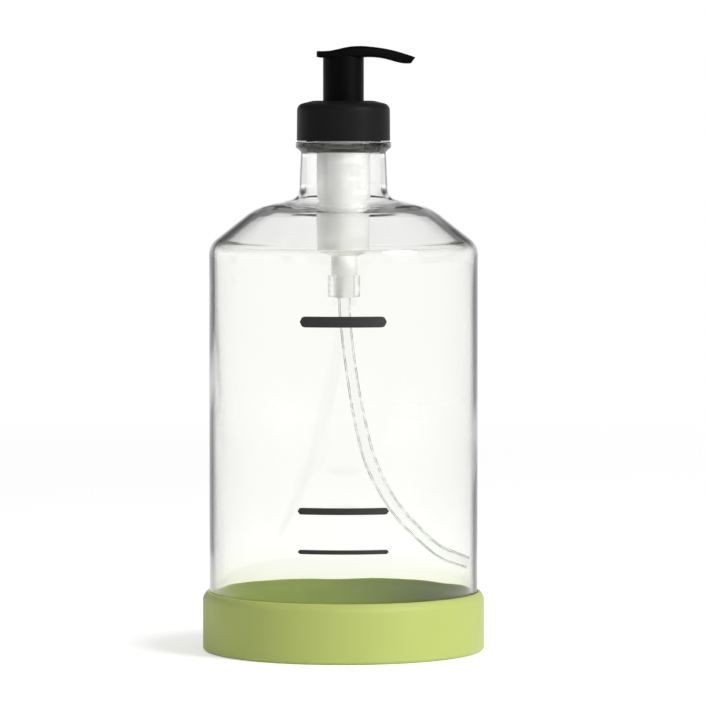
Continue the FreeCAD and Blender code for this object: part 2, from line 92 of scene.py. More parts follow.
class GlassSizes(bpy.types.PropertyGroup):
    """Section of the glass bottle; heights are above the worktop."""

    wall: length("Wall", "Thickness of the straight wall", 2.4)
    base: length("Base", "Thickness of the glass under the soap", 5.5)
    punt: length("Push-up", "How far the underside is pushed up in the middle", 2.0)
    foot_ring: length("Foot ring", "Flat ring that the bottle stands on", 7.15)
    heel: length("Heel", "Outer corner radius at the foot", 6.0)
    inner_heel: length("Inner heel", "Inner corner radius at the foot", 7.0)
    shoulder: length("Shoulder", "Height where wall and steep shoulder would meet", 121.5)
    shoulder_round: length("Shoulder round", "Outer corner radius of the shoulder", 5.7)
    crown_radius: length("Crown radius", "Radius where the steep and flat shoulder meet", 25.8)
    crown: length("Crown", "Height where the steep and flat shoulder meet", 132.8)
    crown_round: length("Crown round", "Corner radius between the two shoulder slopes", 15.0)
    neck_foot_radius: length("Neck foot radius", "Radius at the foot of the neck", 13.3)
    neck_foot: length("Neck foot", "Height of the foot of the neck", 135.4)
    neck_foot_round: length("Neck foot round", "Outer corner radius at the foot of the neck", 3.2)
    neck_foot_inner: length("Neck foot inner", "Inner corner radius at the foot of the neck", 7.5)
    neck_radius: length("Neck radius", "Radius of the neck under its bead", 12.7)
    neck_wall: length("Neck wall", "Thickness of the neck", 2.0)
    bead_low: length("Bead", "Height of the underside of the bead", 149.2)
    bead_radius: length("Bead radius", "Radius of the bead under the cap", 14.28)
    bead_thickness: length("Bead thickness", "Height of the bead", 3.1)
    bead_slope: length("Bead slope", "Height of the sloping underside of the bead", 1.4)
    mouth_radius: length("Mouth radius", "Outer radius of the mouth", 10.9)
    mouth_bore: length("Mouth bore", "Inner radius of the mouth", 8.6)
    mouth_bore_length: length("Mouth bore length", "Straight bore above the widening", 8.8)
    bore_round: length("Bore round", "Corner radius where the bore widens", 1.5)
    lip_round: length("Lip round", "Corner radius of the mouth", 0.8)
    waviness: length("Waviness", "How far the inner wall wanders from a true circle", 0.26)
    calm_base: length("Calm base", "Height above the foot where the waves start to grow", 8.0)
    wave_growth: length("Wave growth", "Height over which the waves grow to their full size", 12.0)
    calm_run: length("Calm run", "Distance from axis and bead with smaller waves", 20.0)
    index: number("Index", "Refractive index of the glass", 1.5)


class SoapSizes(bpy.types.PropertyGroup):
    """Fill level and light of the soap, and the heights of its painted green reflection."""

    level: length("Level", "Height of the soap's surface", 121.4)
    meniscus: length("Meniscus", "How far the surface creeps up the glass", 0.3)
    creep: length("Creep", "Width of the ring in which the surface creeps up", 3.2)
    gap: length("Gap", "Space between soap and glass, so that the two surfaces stay apart", 0.03)
    index: number("Index", "Bending of light where glass meets soap", 1.02)
    surface_index: number("Surface index", "Bending of light where air meets soap", 1.003)
    # Heights of the painted reflection of the green boot in the soap
    reflection_low: length("Green low", "Height under which the soap has the boot's full green", 12.0)
    reflection_high: length("Green high", "Height above which the boot lends it no green", 31.0)


class ThreadSizes(bpy.types.PropertyGroup):
    """Screw thread of the neck and the cap."""

    pitch: length("Pitch", "Rise of the thread in one turn", 3.175)
    depth: length("Depth", "Height of the ridge above the neck", 1.0)
    width: length("Width", "Width of the ridge at its foot", 1.7)
    below_mouth: length("Below mouth", "How far below the mouth the thread starts", 6.3)
    cap_bore: length("Cap bore", "Radius of the cap's wall inside", 12.45)
    cap_share: number("Cap share", "Width of the cap's ridge as a share of the neck's", 0.7)
    turns: number("Turns", "Turns of thread", 1.4)


class Colours(bpy.types.PropertyGroup):
    """Colours of the finishes, and of the painted shade and reflection."""

    glass: colour("Glass", "Clear glass", (0.998, 1.0, 0.996))
    soap: colour("Soap", "Soap in the bottle", (1.0, 1.0, 0.975))
    # Painted reflection of the green boot, low in the soap
    soap_reflected_green: colour("Soap low", "Soap close to the boot, greener", (0.84, 0.89, 0.6))
    boot: colour("Boot", "Green silicone", (0.50, 0.58, 0.15))
    # Painted shade of the boot's inside, behind the glass
    boot_inner_shade: colour("Boot inside", "Deeper green against the glass", (0.56, 0.63, 0.12))
    cap: colour("Cap", "Black plastic of the cap", (0.012, 0.012, 0.012))
    head: colour("Head", "Black plastic of the pump head", (0.002, 0.002, 0.002))
    pale: colour("Pale", "Natural white plastic of the pump", (0.992, 0.993, 0.985))
    pale_light: colour("Pale light", "Light that passes the frosted housing", (0.985, 0.985, 0.975))
    clear: colour("Clear", "Clear plastic of the tube", (0.995, 1.0, 0.993))
    # Painted shade: the tube's dark outline where it turns away stands in for shade from refraction
    outline: colour("Outline", "Tone of the tube where it turns away", (0.04, 0.042, 0.04))
    # Painted shade of the outer glass where it turns away
    rim_shade: colour("Rim", "Tone of the glass where it turns away", (0.006, 0.006, 0.006))
    ball: colour("Ball", "Glass of the valve balls", (0.85, 0.9, 0.88))
    rubber: colour("Rubber", "Gasket and air valve", (0.75, 0.75, 0.72))
    steel: colour("Steel", "Spring wire", (0.85, 0.85, 0.86))
    nylon: colour("Nylon", "Woven screens", (0.88, 0.88, 0.85))
    ink: colour("Ink", "Printed bars on the glass", (0.018, 0.018, 0.017))


class StageSettings(bpy.types.PropertyGroup):
    """Camera, lamps and world."""

    distance: number("Distance", "Camera to bottle", 1.461, unit="LENGTH")
    eye_height: length("Eye height", "Height of the camera", 165.0)
    aim_height: length("Aim height", "Height that the middle of the picture shows", 89.2)
    lamp_aim: length("Lamp aim", "Height that the lamps point at", 90.0)
    aside: length("Aside", "How far the camera stands to the right", 2.7)
    lens: number("Lens", "Focal length in millimetres", 249.6)
    key_power: number("Key", "Power of the large lamp, right", 14.0, unit="POWER")
    fill_power: number("Fill", "Power of the lamp, left", 0.3, unit="POWER")
    sky: number("Sky", "Light of the world on plain surfaces", 0.43)
    studio_dark: number("Studio dark", "Darkest part of the studio in reflections", 0.18)
    studio_pale: number("Studio pale", "Palest part of the studio in reflections", 1.0)
    ceiling: number("Ceiling", "How much of the studio's light the ceiling sends back", 0.25)
    floor_mirrored: number("Floor mirrored", "Light of the floor in reflections", 0.6)


# Shapes


def clamped(value):
    """The value, but at least 0 and at most 1."""
    return min(1.0, max(0.0, value))


def rounded(corners):
    """Points through the corners (r, z, radius), each corner replaced by a tangent arc."""
    points = []
    last = len(corners) - 1
    for i, (r, z, radius) in enumerate(corners):
        here = Vector((r, z))
        if radius <= 0 or i in (0, last):
            points.append(here)
            continue
        back = Vector(corners[i - 1][:2]) - here
        ahead = Vector(corners[i + 1][:2]) - here
        room = 0.49 * min(back.length, ahead.length)  # less than half, so that no two arcs meet
        back.normalize()
        ahead.normalize()
        half = back.angle(ahead) / 2
        if abs(half - math.pi / 2) < 1e-6:
            points.append(here)
            continue
        setback = min(radius / math.tan(half), room)
        fitted = setback * math.tan(half)
        centre = here + (back + ahead).normalized() * (fitted / math.sin(half))
        start = here + back * setback - centre
        end = here + ahead * setback - centre
        sweep = math.pi - 2 * half
        turn = 1 if start.x * end.y - start.y * end.x > 0 else -1
        count = max(2, math.ceil(sweep / ARC_STEP))
        for k in range(count + 1):
            angle = turn * sweep * k / count
            cos, sin = math.cos(angle), math.sin(angle)
            turned = Vector((start.x * cos - start.y * sin, start.x * sin + start.y * cos))
            points.append(centre + turned)
    return [(p.x, p.y) for p in points]


def split_long(points):
    """The same outline with more points on its long straight runs."""
    out = [points[0]]
    for (r0, z0), (r1, z1) in zip(points, points[1:]):
        count = max(1, math.ceil(math.hypot(r1 - r0, z1 - z0) / LONGEST_RUN))
        for k in range(1, count + 1):
            share = k / count
            out.append((r0 + (r1 - r0) * share, z0 + (z1 - z0) * share))
    return out


def mesh_object(name, verts, faces, sharp=35):
    """Mesh object with smooth shading that keeps edges sharper than an angle."""
    mesh = bpy.data.meshes.new(name)
    mesh.from_pydata(verts, [], faces)
    mesh.validate()
    mesh.shade_smooth()
    mesh.set_sharp_from_angle(angle=math.radians(sharp))
    made = bpy.data.objects.new(name, mesh)
    bpy.context.scene.collection.objects.link(made)
    return made


def lathe(name, outline, wander, sharp=35):
    """Closed surface turned from an outline that starts and ends on the axis.

    wander(index, r, z, angle) is what the radius gains at a point of the outline.
    """
    verts, rings = [], []
    for index, (r, z) in enumerate(outline):
        if r < ON_AXIS:
            rings.append([len(verts)])
            verts.append((0.0, 0.0, z))
            continue
        rings.append(range(len(verts), len(verts) + SEGMENTS))
        for k in range(SEGMENTS):
            angle = TAU * k / SEGMENTS
            radius = r + wander(index, r, z, angle)
            verts.append((radius * math.cos(angle), radius * math.sin(angle), z))
    faces = []
    for one, two in zip(rings, rings[1:]):
        for a in range(SEGMENTS):
            b = (a + 1) % SEGMENTS
            if len(one) == 1:
                faces.append((one[0], two[b], two[a]))
            elif len(two) == 1:
                faces.append((one[a], one[b], two[0]))
            else:
                faces.append((one[a], one[b], two[b], two[a]))
    return mesh_object(name, verts, faces, sharp)


def offset_outline(corners, distance):
    """Open outline of (r, z) moved to its left side by a distance, corner by corner."""
    lines = []
    for (r0, z0), (r1, z1) in zip(corners, corners[1:]):
        run = math.hypot(r1 - r0, z1 - z0)
        dr, dz = (r1 - r0) / run * distance, (z1 - z0) / run * distance
        lines.append((r0 - dz, z0 + dr, r1 - r0, z1 - z0))
    moved = []
    for (r0, z0, dr0, dz0), (r1, z1, dr1, dz1) in zip(lines, lines[1:]):
        along = ((r1 - r0) * dz1 - (z1 - z0) * dr1) / (dr0 * dz1 - dz0 * dr1)
        moved.append((r0 + along * dr0, z0 + along * dz0))
    return moved


def glass_outlines(sizes):
    """Outer and inner outline of the bottle, from the axis to the mouth."""
    low, top, radius = GLASS_LOW, GLASS_HIGH, GLASS_RADIUS
    bead_top = sizes.bead_low + sizes.bead_thickness
    lip = ((sizes.mouth_radius + sizes.mouth_bore) / 2, top, 0)
    outer_side = [
        (radius, sizes.shoulder),
        (sizes.crown_radius, sizes.crown),
        (sizes.neck_foot_radius, sizes.neck_foot),
    ]
    punt_radius = radius - sizes.heel - sizes.foot_ring
    outer = [
        (0, low + sizes.punt, 0),
        (punt_radius / 2, low + sizes.punt, punt_radius / 2),
        (punt_radius, low, 0.5 * MM),
        (radius, low, sizes.heel),
        (*outer_side[0], sizes.shoulder_round),
        (*outer_side[1], sizes.crown_round),
        (*outer_side[2], sizes.neck_foot_round),
        (sizes.neck_radius, sizes.bead_low, 0.5 * MM),
        (sizes.bead_radius, sizes.bead_low + sizes.bead_slope, 0.5 * MM),
        (sizes.bead_radius, bead_top, 0.6 * MM),
        (sizes.mouth_radius, bead_top, 0.4 * MM),
        (sizes.mouth_radius, top, sizes.lip_round),
        lip,
    ]
    inner_side = offset_outline(
        [(radius, 0), *outer_side, (sizes.neck_foot_radius, sizes.bead_low)], sizes.wall
    )
    neck = sizes.neck_foot_radius - sizes.neck_wall
    slope = (outer_side[2][1] - outer_side[1][1]) / (outer_side[1][0] - outer_side[2][0])
    floor = low + sizes.punt + sizes.base
    bore_low = top - sizes.mouth_bore_length
    inner = [
        (0, floor, 0),
        (radius - sizes.wall, floor, sizes.inner_heel),
        (*inner_side[0], sizes.shoulder_round - sizes.wall),
        (*inner_side[1], sizes.crown_round - sizes.wall),
        (neck, inner_side[1][1] + (inner_side[1][0] - neck) * slope, sizes.neck_foot_inner),
        (neck, bore_low - (neck - sizes.mouth_bore), sizes.bore_round),
        (sizes.mouth_bore, bore_low, sizes.bore_round),
        (sizes.mouth_bore, top, sizes.lip_round),
        lip,
    ]
    return outer, inner


def blown_wander(sizes, z, angle):
    """How far the blown inner wall stands off a true circle, in waves along and round the bottle.

    They are smaller at the base and fade out towards the bead.
    """
    cos, sin = math.cos(angle), math.sin(angle)
    long_waves = noise.noise(Vector((2.1 * cos, 2.1 * sin, z * 14)))
    short_waves = noise.noise(Vector((3.7 * cos + 9, 3.7 * sin, z * 45)))
    waves = 0.6 * long_waves + 0.5 * short_waves
    calm = clamped((sizes.bead_low - z) / sizes.calm_run)
    rise = clamped((z - GLASS_LOW - sizes.calm_base) / sizes.wave_growth)
    return sizes.waviness * waves * calm * (0.4 + 0.6 * rise)


def glass_shape(sizes, level):
    """The bottle as one closed mesh, true outside and slightly wavy inside.

    Slot 0 is the dry inside, slot 1 the inside wet with soap and slot 2 the outside.
    """
    outer, inner = glass_outlines(sizes)
    outside = split_long(rounded(outer))
    inside = split_long(rounded(inner))
    turned_in = len(outside)

    def wander(index, r, z, angle):
        if index < turned_in:
            return 0.0
        return blown_wander(sizes, z, angle) * clamped(r / sizes.calm_run)

    glass = lathe("glass_bottle_blown", outside + inside[-2::-1], wander)
    first_inner = SEGMENTS * (turned_in - 2)
    for face in glass.data.polygons:
        if min(face.vertices) < first_inner:
            face.material_index = 2
        elif face.center.z < level:
            face.material_index = 1
    return glass


def soap_shape(glass, sizes):
    """Soap inside the glass, with a surface that creeps up the wall.

    Slot 0 is what touches the glass and slot 1 the surface inside its raised rim.
    """
    inner = rounded(glass_outlines(glass)[1])
    floor = inner[0][1] + sizes.gap
    below = [(r, max(z, floor)) for r, z in inner if z < sizes.level]
    wall_r = max(r for r, _ in below)
    side = split_long([*below, (wall_r, sizes.level + sizes.meniscus)])
    steps = 12
    top = []
    for k in range(1, steps + 1):
        share = k / steps
        rise = sizes.meniscus * (1 - share) ** 2.5
        top.append((wall_r - sizes.creep * share, sizes.level + rise))
    outline = [*side, *top, (wall_r / 2, sizes.level), (0.0, sizes.level)]

    def wander(index, r, z, angle):
        return (blown_wander(glass, z, angle) - sizes.gap) * clamped(r / glass.calm_run)

    soap = lathe("soap", outline, wander, 60)
    rim_z = sizes.level - 0.2 * MM
    rim_r = wall_r - 0.25 * MM
    for face in soap.data.polygons:
        x, y, z = face.center
        face.material_index = 1 if z > rim_z and math.hypot(x, y) < rim_r else 0
    return soap


def thread_ridge(name, threads, root, low, width, inward=False):
    """Rounded helical ridge that fades in and out; it stands outward, or inward in a cap."""
    side = -1 if inward else 1
    sunk = 0.05 * MM
    run_out = 0.12  # share of the ridge in which each end fades
    steps = math.ceil(threads.turns * 72)
    half_section = 4
    section = []
    for k in range(2 * half_section + 1):
        across = -1 + k / half_section
        section.append((math.sqrt(max(0.0, 1 - across * across)), across * width / 2))
    verts, faces = [], []
    for i in range(steps + 1):
        share = i / steps
        angle = TAU * threads.turns * share
        fade = min(1.0, share / run_out, (1 - share) / run_out)
        level = low + threads.pitch * threads.turns * share
        for height, across in section:
            radius = root + side * (threads.depth * height * fade - sunk)
            z = level + across * (0.4 + 0.6 * fade)
            verts.append((radius * math.cos(angle), radius * math.sin(angle), z))
    size = len(section)
    for i in range(steps):
        for k in range(size):
            a, b = i * size + k, i * size + (k + 1) % size
            faces.append((a, b, b + size, a + size) if inward else (b, a, a + size, b + size))
    first = list(range(size))
    last = [steps * size + k for k in first]
    if inward:
        first.reverse()
    else:
        last.reverse()
    faces += [first, last]
    return mesh_object(name, verts, faces, 50)


def wrapped_bar(name, radius, width, low, height):
    """Thin bar of ink on the front of the round glass, with rounded ends."""
    clear_of_glass, thickness = 0.005 * MM, 0.02 * MM
    half = width / 2 / radius
    end = height / 2 / radius
    front = -math.pi / 2
    columns = 40
    least_rise = height * 0.02
    verts, faces = [], []
    for i in range(columns + 1):
        offset = -half + 2 * half * i / columns
        from_end = min(half - abs(offset), end) / end
        rise = height / 2 * math.sqrt(max(0.0, 1 - (1 - from_end) ** 2))
        rise = max(rise, least_rise)
        angle = front + offset
        for out in (radius + clear_of_glass, radius + thickness):
            for z in (low + height / 2 - rise, low + height / 2 + rise):
                verts.append((out * math.cos(angle), out * math.sin(angle), z))
    for i in range(columns):
        a, b = i * 4, i * 4 + 4
        faces.append((a + 2, b + 2, b + 3, a + 3))
        faces.append((a, a + 1, b + 1, b))
        faces.append((a + 1, a + 3, b + 3, b + 1))
        faces.append((a, b, b + 2, a + 2))
    faces.append((0, 2, 3, 1))
    last = columns * 4
    faces.append((last, last + 1, last + 3, last + 2))
    return mesh_object(name, verts, faces, 50)


# Nodes


def rgba(rgb):
    """Colour with full opacity."""
    return (*rgb, 1.0)


def add(tree, kind, inputs=None, **settings):
    """New node with its settings, and with each input set to a value or linked to a socket."""
    node = tree.nodes.new(kind)
    for name, value in settings.items():
        setattr(node, name, value)
    for name, value in (inputs or {}).items():
        if isinstance(value, bpy.types.NodeSocket):
            tree.links.new(value, node.inputs[name])
        else:
            node.inputs[name].default_value = value
    return node


def place_in(tree):
    """Place in the object's own frame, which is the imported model's."""
    return add(tree, "ShaderNodeTexCoord").outputs["Object"]


def height_in(tree):
    """Height above the worktop."""
    return add(tree, "ShaderNodeSeparateXYZ", {"Vector": place_in(tree)}).outputs["Z"]


def noise_in(tree, place, scale, detail):
    """Noise texture from 0 to 1."""
    inputs = {"Vector": place, "Scale": scale, "Detail": detail}
    return add(tree, "ShaderNodeTexNoise", inputs).outputs["Fac"]


def calc(tree, operation, one, two):
    """Result of a math operation on two values."""
    return add(tree, "ShaderNodeMath", {0: one, 1: two}, operation=operation).outputs["Value"]


def ramp(tree, value, span, low=0.0, high=1.0, kind="SMOOTHSTEP"):
    """Goes from low to high while the value goes through its span."""
    inputs = {
        "Value": value,
        "From Min": span[0],
        "From Max": span[1],
        "To Min": low,
        "To Max": high,
    }
    return add(tree, "ShaderNodeMapRange", inputs, interpolation_type=kind).outputs["Result"]


def size_of(tree, vector):
    """Length of a vector."""
    return add(tree, "ShaderNodeVectorMath", {0: vector}, operation="LENGTH").outputs["Value"]


def mix(tree, factor, one, two, kind="RGBA", blend="MIX"):
    """Mix of two colours or, with the kind FLOAT, of two values."""
    inputs = {"Factor": factor, "A": one, "B": two}
    return add(tree, "ShaderNodeMix", inputs, data_type=kind, blend_type=blend).outputs["Result"]


def raised(tree, height, distance, strength=1.0):
    """Normal of a surface that is raised by a height."""
    inputs = {"Height": height, "Distance": distance, "Strength": strength}
    return add(tree, "ShaderNodeBump", inputs).outputs["Normal"]


def shared_group(name, inputs, outputs, fill):
    """Node group of that name; the first call makes its sockets, and its nodes with fill()."""
    group = bpy.data.node_groups.get(name)
    if group:
        return group
    group = bpy.data.node_groups.new(name, "ShaderNodeTree")
    for label, default in inputs.items():
        kind = "NodeSocketColor" if isinstance(default, tuple) else "NodeSocketFloat"
        socket = group.interface.new_socket(name=label, in_out="INPUT", socket_type=kind)
        socket.default_value = default
    for label, kind in outputs.items():
        group.interface.new_socket(name=label, in_out="OUTPUT", socket_type=kind)
    results = fill(group, add(group, "NodeGroupInput").outputs)
    add(group, "NodeGroupOutput", results)
    return group


def moulded_surface():
    """Group: fine grain and slow unevenness of a moulded piece, as roughness, tone and normal."""

    def fill(group, given):
        place = place_in(group)
        grain = noise_in(group, place, given["Grain Scale"], 3.0)
        slow = noise_in(group, place, 90.0, 4.0)
        gloss = given["Roughness Low"], given["Roughness High"]
        drift = calc(group, "MULTIPLY", slow, given["Tone Drift"])
        return {
            "Color": mix(group, drift, given["Base"], (0.4, 0.4, 0.4, 1.0), blend="MULTIPLY"),
            "Roughness": ramp(group, slow, (0.3, 0.7), *gloss, kind="LINEAR"),
            "Normal": raised(group, grain, 0.1 * MM, given["Grain Depth"]),
        }

    inputs = {
        "Grain Scale": 3000.0,
        "Grain Depth": 0.1,
        "Roughness Low": 0.3,
        "Roughness High": 0.45,
        "Base": (0.5, 0.5, 0.5, 1.0),
        "Tone Drift": 0.05,
    }
    outputs = {
        "Color": "NodeSocketColor",
        "Roughness": "NodeSocketFloat",
        "Normal": "NodeSocketVector",
    }
    return shared_group("Moulded surface", inputs, outputs, fill)


def specks_group():
    """Group: sparse fine specks, as lint and dust leave them on soft surfaces."""

    def fill(group, given):
        inputs = {"Vector": place_in(group), "Scale": given["Scale"]}
        cells = add(group, "ShaderNodeTexVoronoi", inputs).outputs["Distance"]
        return {"Mask": calc(group, "LESS_THAN", cells, given["Amount"])}

    inputs = {"Scale": 900.0, "Amount": 0.08}
    return shared_group("Specks", inputs, {"Mask": "NodeSocketFloat"}, fill)


def inner_side_group():
    """Group: 1 on the side of a turned piece that lies within a radius of the axis, else 0."""

    def fill(group, given):
        inputs = {0: place_in(group), 1: (1.0, 1.0, 0.0)}
        flat = add(group, "ShaderNodeVectorMath", inputs, operation="MULTIPLY").outputs["Vector"]
        return {"Mask": calc(group, "LESS_THAN", size_of(group, flat), given["Radius"])}

    return shared_group("Inner side", {"Radius": 0.04}, {"Mask": "NodeSocketFloat"}, fill)


# Materials


def principled(material):
    """Inputs of the material's shader."""
    return material.node_tree.nodes["Principled BSDF"].inputs


def new_material(name, values=None):
    """Material with its node tree, and with constants on its shader."""
    material = bpy.data.materials.new(name)
    material.use_nodes = True
    tune(material, values or {})
    return material


def tune(material, values):
    """Sets constants on the material's shader."""
    for name, value in values.items():
        principled(material)[name].default_value = value


def wire(material, results):
    """Links sockets to inputs of the material's shader."""
    for name, socket in results.items():
        material.node_tree.links.new(socket, principled(material)[name])


def moulded_material(name, base, rough, grain=(3000.0, 0.1), drift=0.05, specks=0.0):
    """Opaque plastic or rubber with grain, uneven gloss and, if asked, specks."""
    material = new_material(name)
    tree = material.node_tree
    values = {
        "Grain Scale": grain[0],
        "Grain Depth": grain[1],
        "Roughness Low": rough[0],
        "Roughness High": rough[1],
        "Base": rgba(base),
        "Tone Drift": drift,
    }
    surface = add(tree, "ShaderNodeGroup", values, node_tree=moulded_surface()).outputs
    tone = surface["Color"]
    if specks:
        dust = add(tree, "ShaderNodeGroup", {"Amount": specks}, node_tree=specks_group())
        paler = rgba(min(1.0, c * 1.25 + 0.03) for c in base)
        tone = mix(tree, dust.outputs["Mask"], tone, paler)
    results = {
        "Base Color": tone,
        "Roughness": surface["Roughness"],
        "Normal": surface["Normal"],
    }
    wire(material, results)
    return material


def let_light_through(material, tint):
    """Lets lamps and soft light pass a clear piece unbent, so that what is behind it is lit."""
    tree = material.node_tree
    path = add(tree, "ShaderNodeLightPath").outputs
    either = calc(tree, "MAXIMUM", path["Is Shadow Ray"], path["Is Diffuse Ray"])
    clear = add(tree, "ShaderNodeBsdfTransparent", {"Color": rgba(tint)}).outputs["BSDF"]
    solid = tree.nodes["Principled BSDF"].outputs["BSDF"]
    passed = add(tree, "ShaderNodeMixShader", {"Fac": either, 1: solid, 2: clear}).outputs["Shader"]
    tree.links.new(passed, tree.nodes["Material Output"].inputs["Surface"])


def glassy_material(name, base, ior, ripple=(60.0, 0.02 * MM), rough=0.0):
    """Clear material with a slow ripple in its surface, given as scale and depth."""
    values = {
        "Base Color": rgba(base),
        "Transmission Weight": 1.0,
        "Roughness": rough,
        "IOR": ior,
    }
    material = new_material(name, values)
    let_light_through(material, base)
    tree = material.node_tree
    waves = noise_in(tree, place_in(tree), ripple[0], 1.0)
    wire(material, {"Normal": raised(tree, waves, ripple[1])})
    return material


def paint_edge_shade(
    material, base, shade_tone, strength=1.0, band=(0.32, 0.66), scale=420.0, span=(0.38, 0.55), gap=None
):
    """Painted shade: darkens the colour of a clear piece where it turns away, in patches, in place
    of the dark edges that refraction shows.

    The band is the span of its facing in which it darkens, the scale and span are those of the
    patches' noise, and the gap is two heights with no darkening between them.
    """
    # Painted shade, strongest at grazing view and broken into patches
    tree = material.node_tree
    facing = add(tree, "ShaderNodeLayerWeight").outputs["Facing"]
    edge = ramp(tree, facing, band, high=strength)
    patches = ramp(tree, noise_in(tree, place_in(tree), scale, 2.0), span, kind="LINEAR")
    dark = calc(tree, "MULTIPLY", edge, patches)
    if gap:
        fade = 3 * MM
        height = height_in(tree)
        under = ramp(tree, height, (gap[0], gap[0] - fade))
        over = ramp(tree, height, (gap[1], gap[1] + fade))
        dark = calc(tree, "MULTIPLY", dark, calc(tree, "MAXIMUM", under, over))
    wire(material, {"Base Color": mix(tree, dark, rgba(base), rgba(shade_tone))})


def mesh_material(name, base):
    """Woven nylon screen: threads and holes as a bump and a colour pattern."""
    pitch = 0.25 * MM
    material = new_material(name, {"Roughness": 0.5})
    tree = material.node_tree
    split = add(tree, "ShaderNodeSeparateXYZ", {"Vector": place_in(tree)}).outputs
    waves = []
    for axis in ("X", "Y"):
        scaled = calc(tree, "MULTIPLY", split[axis], TAU / pitch)
        waves.append(add(tree, "ShaderNodeMath", {0: scaled}, operation="SINE").outputs["Value"])
    weave = calc(tree, "MAXIMUM", *waves)
    threads = ramp(tree, weave, (-0.2, 0.7), kind="LINEAR")
    holes = rgba(c * 0.35 for c in base)
    results = {
        "Base Color": mix(tree, threads, holes, rgba(base)),
        "Normal": raised(tree, weave, 0.1 * MM),
    }
    wire(material, results)
    return material


def dress(node, material):
    """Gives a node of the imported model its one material."""
    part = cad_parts[node]
    part.data.materials.clear()
    part.data.materials.append(material)


def finish_piece(piece, materials, body, slot, *nodes):
    """Gives a made piece its materials and its body; the slot argument is not used."""
    for material in materials:
        piece.data.materials.append(material)
    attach(piece, body)
    if nodes:
        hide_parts(*nodes)


def light_paths(tree):
    """Kinds of ray, and a mask of what the camera sees, also straight through glass.

    The mask is 0 after a reflection.
    """
    path = add(tree, "ShaderNodeLightPath").outputs
    straight = calc(tree, "LESS_THAN", path["Glossy Depth"], 0.5)
    through = calc(tree, "MULTIPLY", path["Is Transmission Ray"], straight)
    return path, calc(tree, "MAXIMUM", path["Is Camera Ray"], through)


# Operators


class BOTTLE_OT_stage(bpy.types.Operator):
    """Make the camera, the lamps, the world and the floor"""

    bl_idname = "bottle.stage"
    bl_label = "Stage"

    def execute(self, context):
        settings = context.scene.bottle_stage
        self.camera(context, settings)
        self.world(context, settings)
        self.floor(settings)
        self.lamp("key", settings, settings.key_power, 0.7, (0.95, -0.75, 0.7))
        self.lamp("fill", settings, settings.fill_power, 0.8, (-1.1, -0.6, 0.6))
        return {"FINISHED"}

    def camera(self, context, settings):
        """Camera in front of the bottle, tipped down to its aim."""
        data = bpy.data.cameras.new("camera")
        data.lens = settings.lens
        data.sensor_width = 36.0
        data.clip_start = 0.01
        data.clip_end = 30.0
        camera = bpy.data.objects.new("camera", data)
        context.scene.collection.objects.link(camera)
        camera.location = (settings.aside, -settings.distance, settings.eye_height)
        fall = math.atan2(settings.eye_height - settings.aim_height, settings.distance)
        camera.rotation_euler = (math.pi / 2 - fall, 0.0, 0.0)
        context.scene.camera = camera

    def world(self, context, settings):
        """White for the camera; pale screens, a white back and a dim ceiling in reflections."""
        screen_edge, back_edge, ceiling_edge = (0.40, 0.56), (0.25, 0.85), (0.08, 0.3)
        world = bpy.data.worlds.new("studio")
        context.scene.world = world
        world.use_nodes = True
        tree = world.node_tree
        background = tree.nodes["Background"].inputs
        background["Color"].default_value = rgba((1.0, 1.0, 1.0))
        path, seen = light_paths(tree)
        way = add(tree, "ShaderNodeTexCoord").outputs["Generated"]
        split = add(tree, "ShaderNodeSeparateXYZ", {"Vector": way}).outputs
        drift = noise_in(tree, way, 2.2, 1.5)
        screens = ramp(tree, drift, screen_edge, settings.studio_dark, settings.studio_pale)
        behind = ramp(tree, split["Y"], back_edge)
        ceiling = ramp(tree, split["Z"], ceiling_edge, 1.0, settings.ceiling)
        mirrored = calc(tree, "MULTIPLY", calc(tree, "MAXIMUM", screens, behind), ceiling)
        unseen = mix(tree, path["Is Diffuse Ray"], mirrored, settings.sky, "FLOAT")
        tree.links.new(mix(tree, seen, unseen, 1.0, "FLOAT"), background["Strength"])

    def floor(self, settings):
        """Floor that keeps the bottle's shadow and is white further away."""
        half, sunk = 6.0, 0.05 * MM
        dim_edge, white_edge = (0.12, 0.9), (0.2, 1.2)
        near_tone, far_tone, near_glow = 0.9, 0.4, 0.45
        corners = ((-half, -half), (half, -half), (half, half), (-half, half))
        floor = mesh_object("floor", [(x, y, -sunk) for x, y in corners], [(0, 1, 2, 3)])
        values = {
            "Roughness": 0.9,
            "Specular IOR Level": 0.0,
            "Emission Color": rgba((1.0, 1.0, 1.0)),
        }
        material = new_material("floor_white", values)
        tree = material.node_tree
        path, seen = light_paths(tree)
        away = size_of(tree, place_in(tree))
        unseen_tone = ramp(tree, away, dim_edge, near_tone, far_tone)
        white = ramp(tree, away, white_edge)
        seen_tone = ramp(tree, white, (0.0, 1.0), near_tone, 0.0, "LINEAR")
        own_light = ramp(tree, white, (0.0, 1.0), near_glow, 1.0, "LINEAR")
        mirrored = calc(tree, "MULTIPLY", path["Is Glossy Ray"], settings.floor_mirrored)
        shown = calc(tree, "MAXIMUM", seen, mirrored)
        results = {
            "Base Color": mix(tree, seen, unseen_tone, seen_tone),
            "Emission Strength": calc(tree, "MULTIPLY", shown, own_light),
        }
        wire(material, results)
        floor.data.materials.append(material)

    def lamp(self, name, settings, power, size, place):
        """Round soft lamp that points at the bottle and isn't seen through its glass."""
        data = bpy.data.lights.new(name, "AREA")
        data.shape = "DISK"
        data.size = size
        data.energy = power
        lamp = bpy.data.objects.new(name, data)
        lamp.visible_transmission = False
        bpy.context.scene.collection.objects.link(lamp)
        lamp.location = place
        aim = Vector((0, 0, settings.lamp_aim)) - Vector(place)
        lamp.rotation_euler = aim.to_track_quat("-Z", "Y").to_euler()


